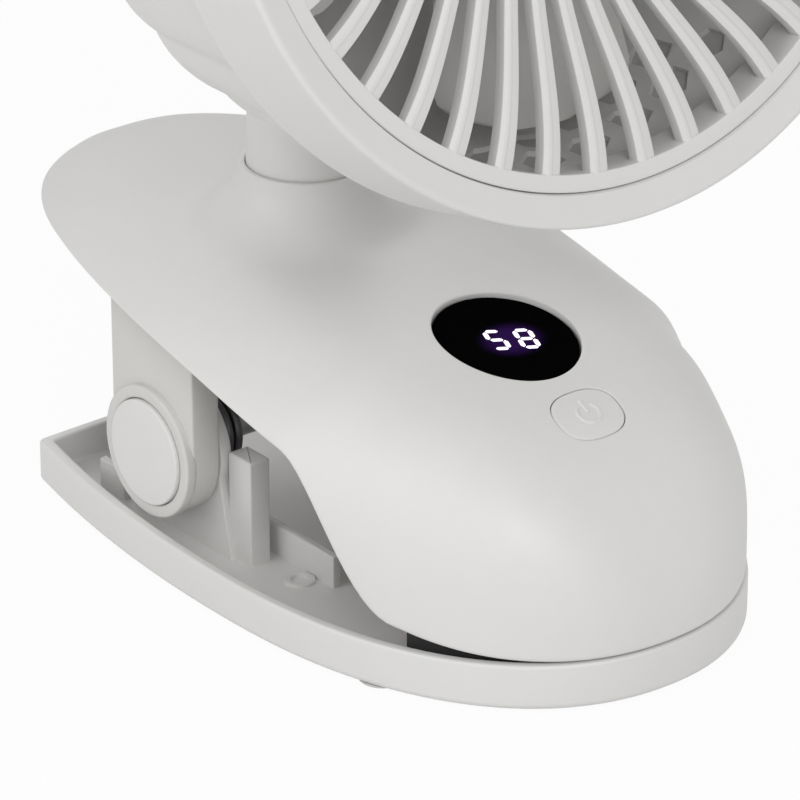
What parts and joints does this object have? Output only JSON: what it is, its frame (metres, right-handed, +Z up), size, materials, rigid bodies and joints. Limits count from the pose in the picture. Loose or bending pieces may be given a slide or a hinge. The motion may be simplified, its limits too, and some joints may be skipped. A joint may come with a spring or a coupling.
{
  "type": "clip fan",
  "caption": "Rechargeable clip fan: round fan head with a curved-vane grille on a swivelling, tilting neck, carried by a domed spring clamp with a display and a button.",
  "frame": {"origin": "on the table under the middle of the clip's length, in its plane of symmetry", "axes": "+Z up, -Y the way the fan blows and the jaws point, +X to the fan's left"},
  "size_m": [0.138, 0.1464, 0.2129],
  "materials": {
    "white_shell": "fine satin moulded plastic",
    "white_inner": "plain moulded plastic",
    "black_window": "polished",
    "rubber": "matt",
    "steel": "drawn",
    "dark_plastic": "moulded",
    "board": "coated glass fibre",
    "cell_wrap": "shrink wrap"
  },
  "bodies": {
    "root": {"lower_jaw": "white_shell", "lower_jaw_pad": "rubber", "hinge_pin": "steel", "foot_pad_front_left": "rubber", "foot_pad_front_right": "rubber", "foot_pad_rear_left": "rubber", "foot_pad_rear_right": "rubber", "torsion_spring_left": "steel", "torsion_spring_right": "steel"},
    "upper_body": {"top_shell": "white_shell", "underside_cover": "white_inner", "upper_jaw_pad": "rubber", "pivot_cap_left": "white_shell", "pivot_cap_right": "white_shell", "display_window": "black_window", "circuit_board": "board", "led_display": "dark_plastic", "tact_switch": "dark_plastic", "battery_cell": "cell_wrap", "usb_board": "board", "usb_socket": "steel", "cover_screw_1": "steel", "cover_screw_2": "steel", "cover_screw_3": "steel", "cover_screw_4": "steel", "swivel_washer": "steel"},
    "button": {"power_button": "white_shell"},
    "neck": {"neck_post": "white_shell", "tilt_washer_left": "steel", "tilt_washer_right": "steel"},
    "head": {"ring_housing": "white_shell", "front_grille": "white_shell", "rear_cover": "white_shell", "motor": "steel", "motor_screw_1": "steel", "motor_screw_2": "steel", "motor_screw_3": "steel", "tilt_pin": "steel", "tilt_nut": "steel"},
    "rotor": {"impeller": "white_inner", "motor_shaft": "steel"}
  },
  "joints": [
    {"name": "clip_hinge", "type": "hinge", "parent": "root", "child": "upper_body", "pos_m": [0, 0.0142, 0.0198], "axis": [-1, 0, 0], "range_deg": [0, 28], "stiffness_Nm_per_rad": 1, "springref_deg": -28.65, "deforming": ["torsion_spring_left", "torsion_spring_right"]},
    {"name": "button_press", "type": "slide", "parent": "upper_body", "child": "button", "axis": [0, 0.4067, -0.9136], "range_m": [0, 0.0004], "stiffness_N_per_m": 600, "springref_m": -0.0004},
    {"name": "neck_swivel", "type": "hinge", "parent": "upper_body", "child": "neck", "pos_m": [0, 0.0197, 0.06], "axis": [0, 0, 1], "range_deg": [-165, 165]},
    {"name": "head_tilt", "type": "hinge", "parent": "neck", "child": "head", "pos_m": [0, 0.0197, 0.102], "axis": [-1, 0, 0], "range_deg": [-20, 70]},
    {"name": "blade_spin", "type": "hinge", "parent": "head", "child": "rotor", "pos_m": [0, -0.0493, 0.1455], "axis": [0, -0.9759, 0.2181], "continuous": true}
  ]
}
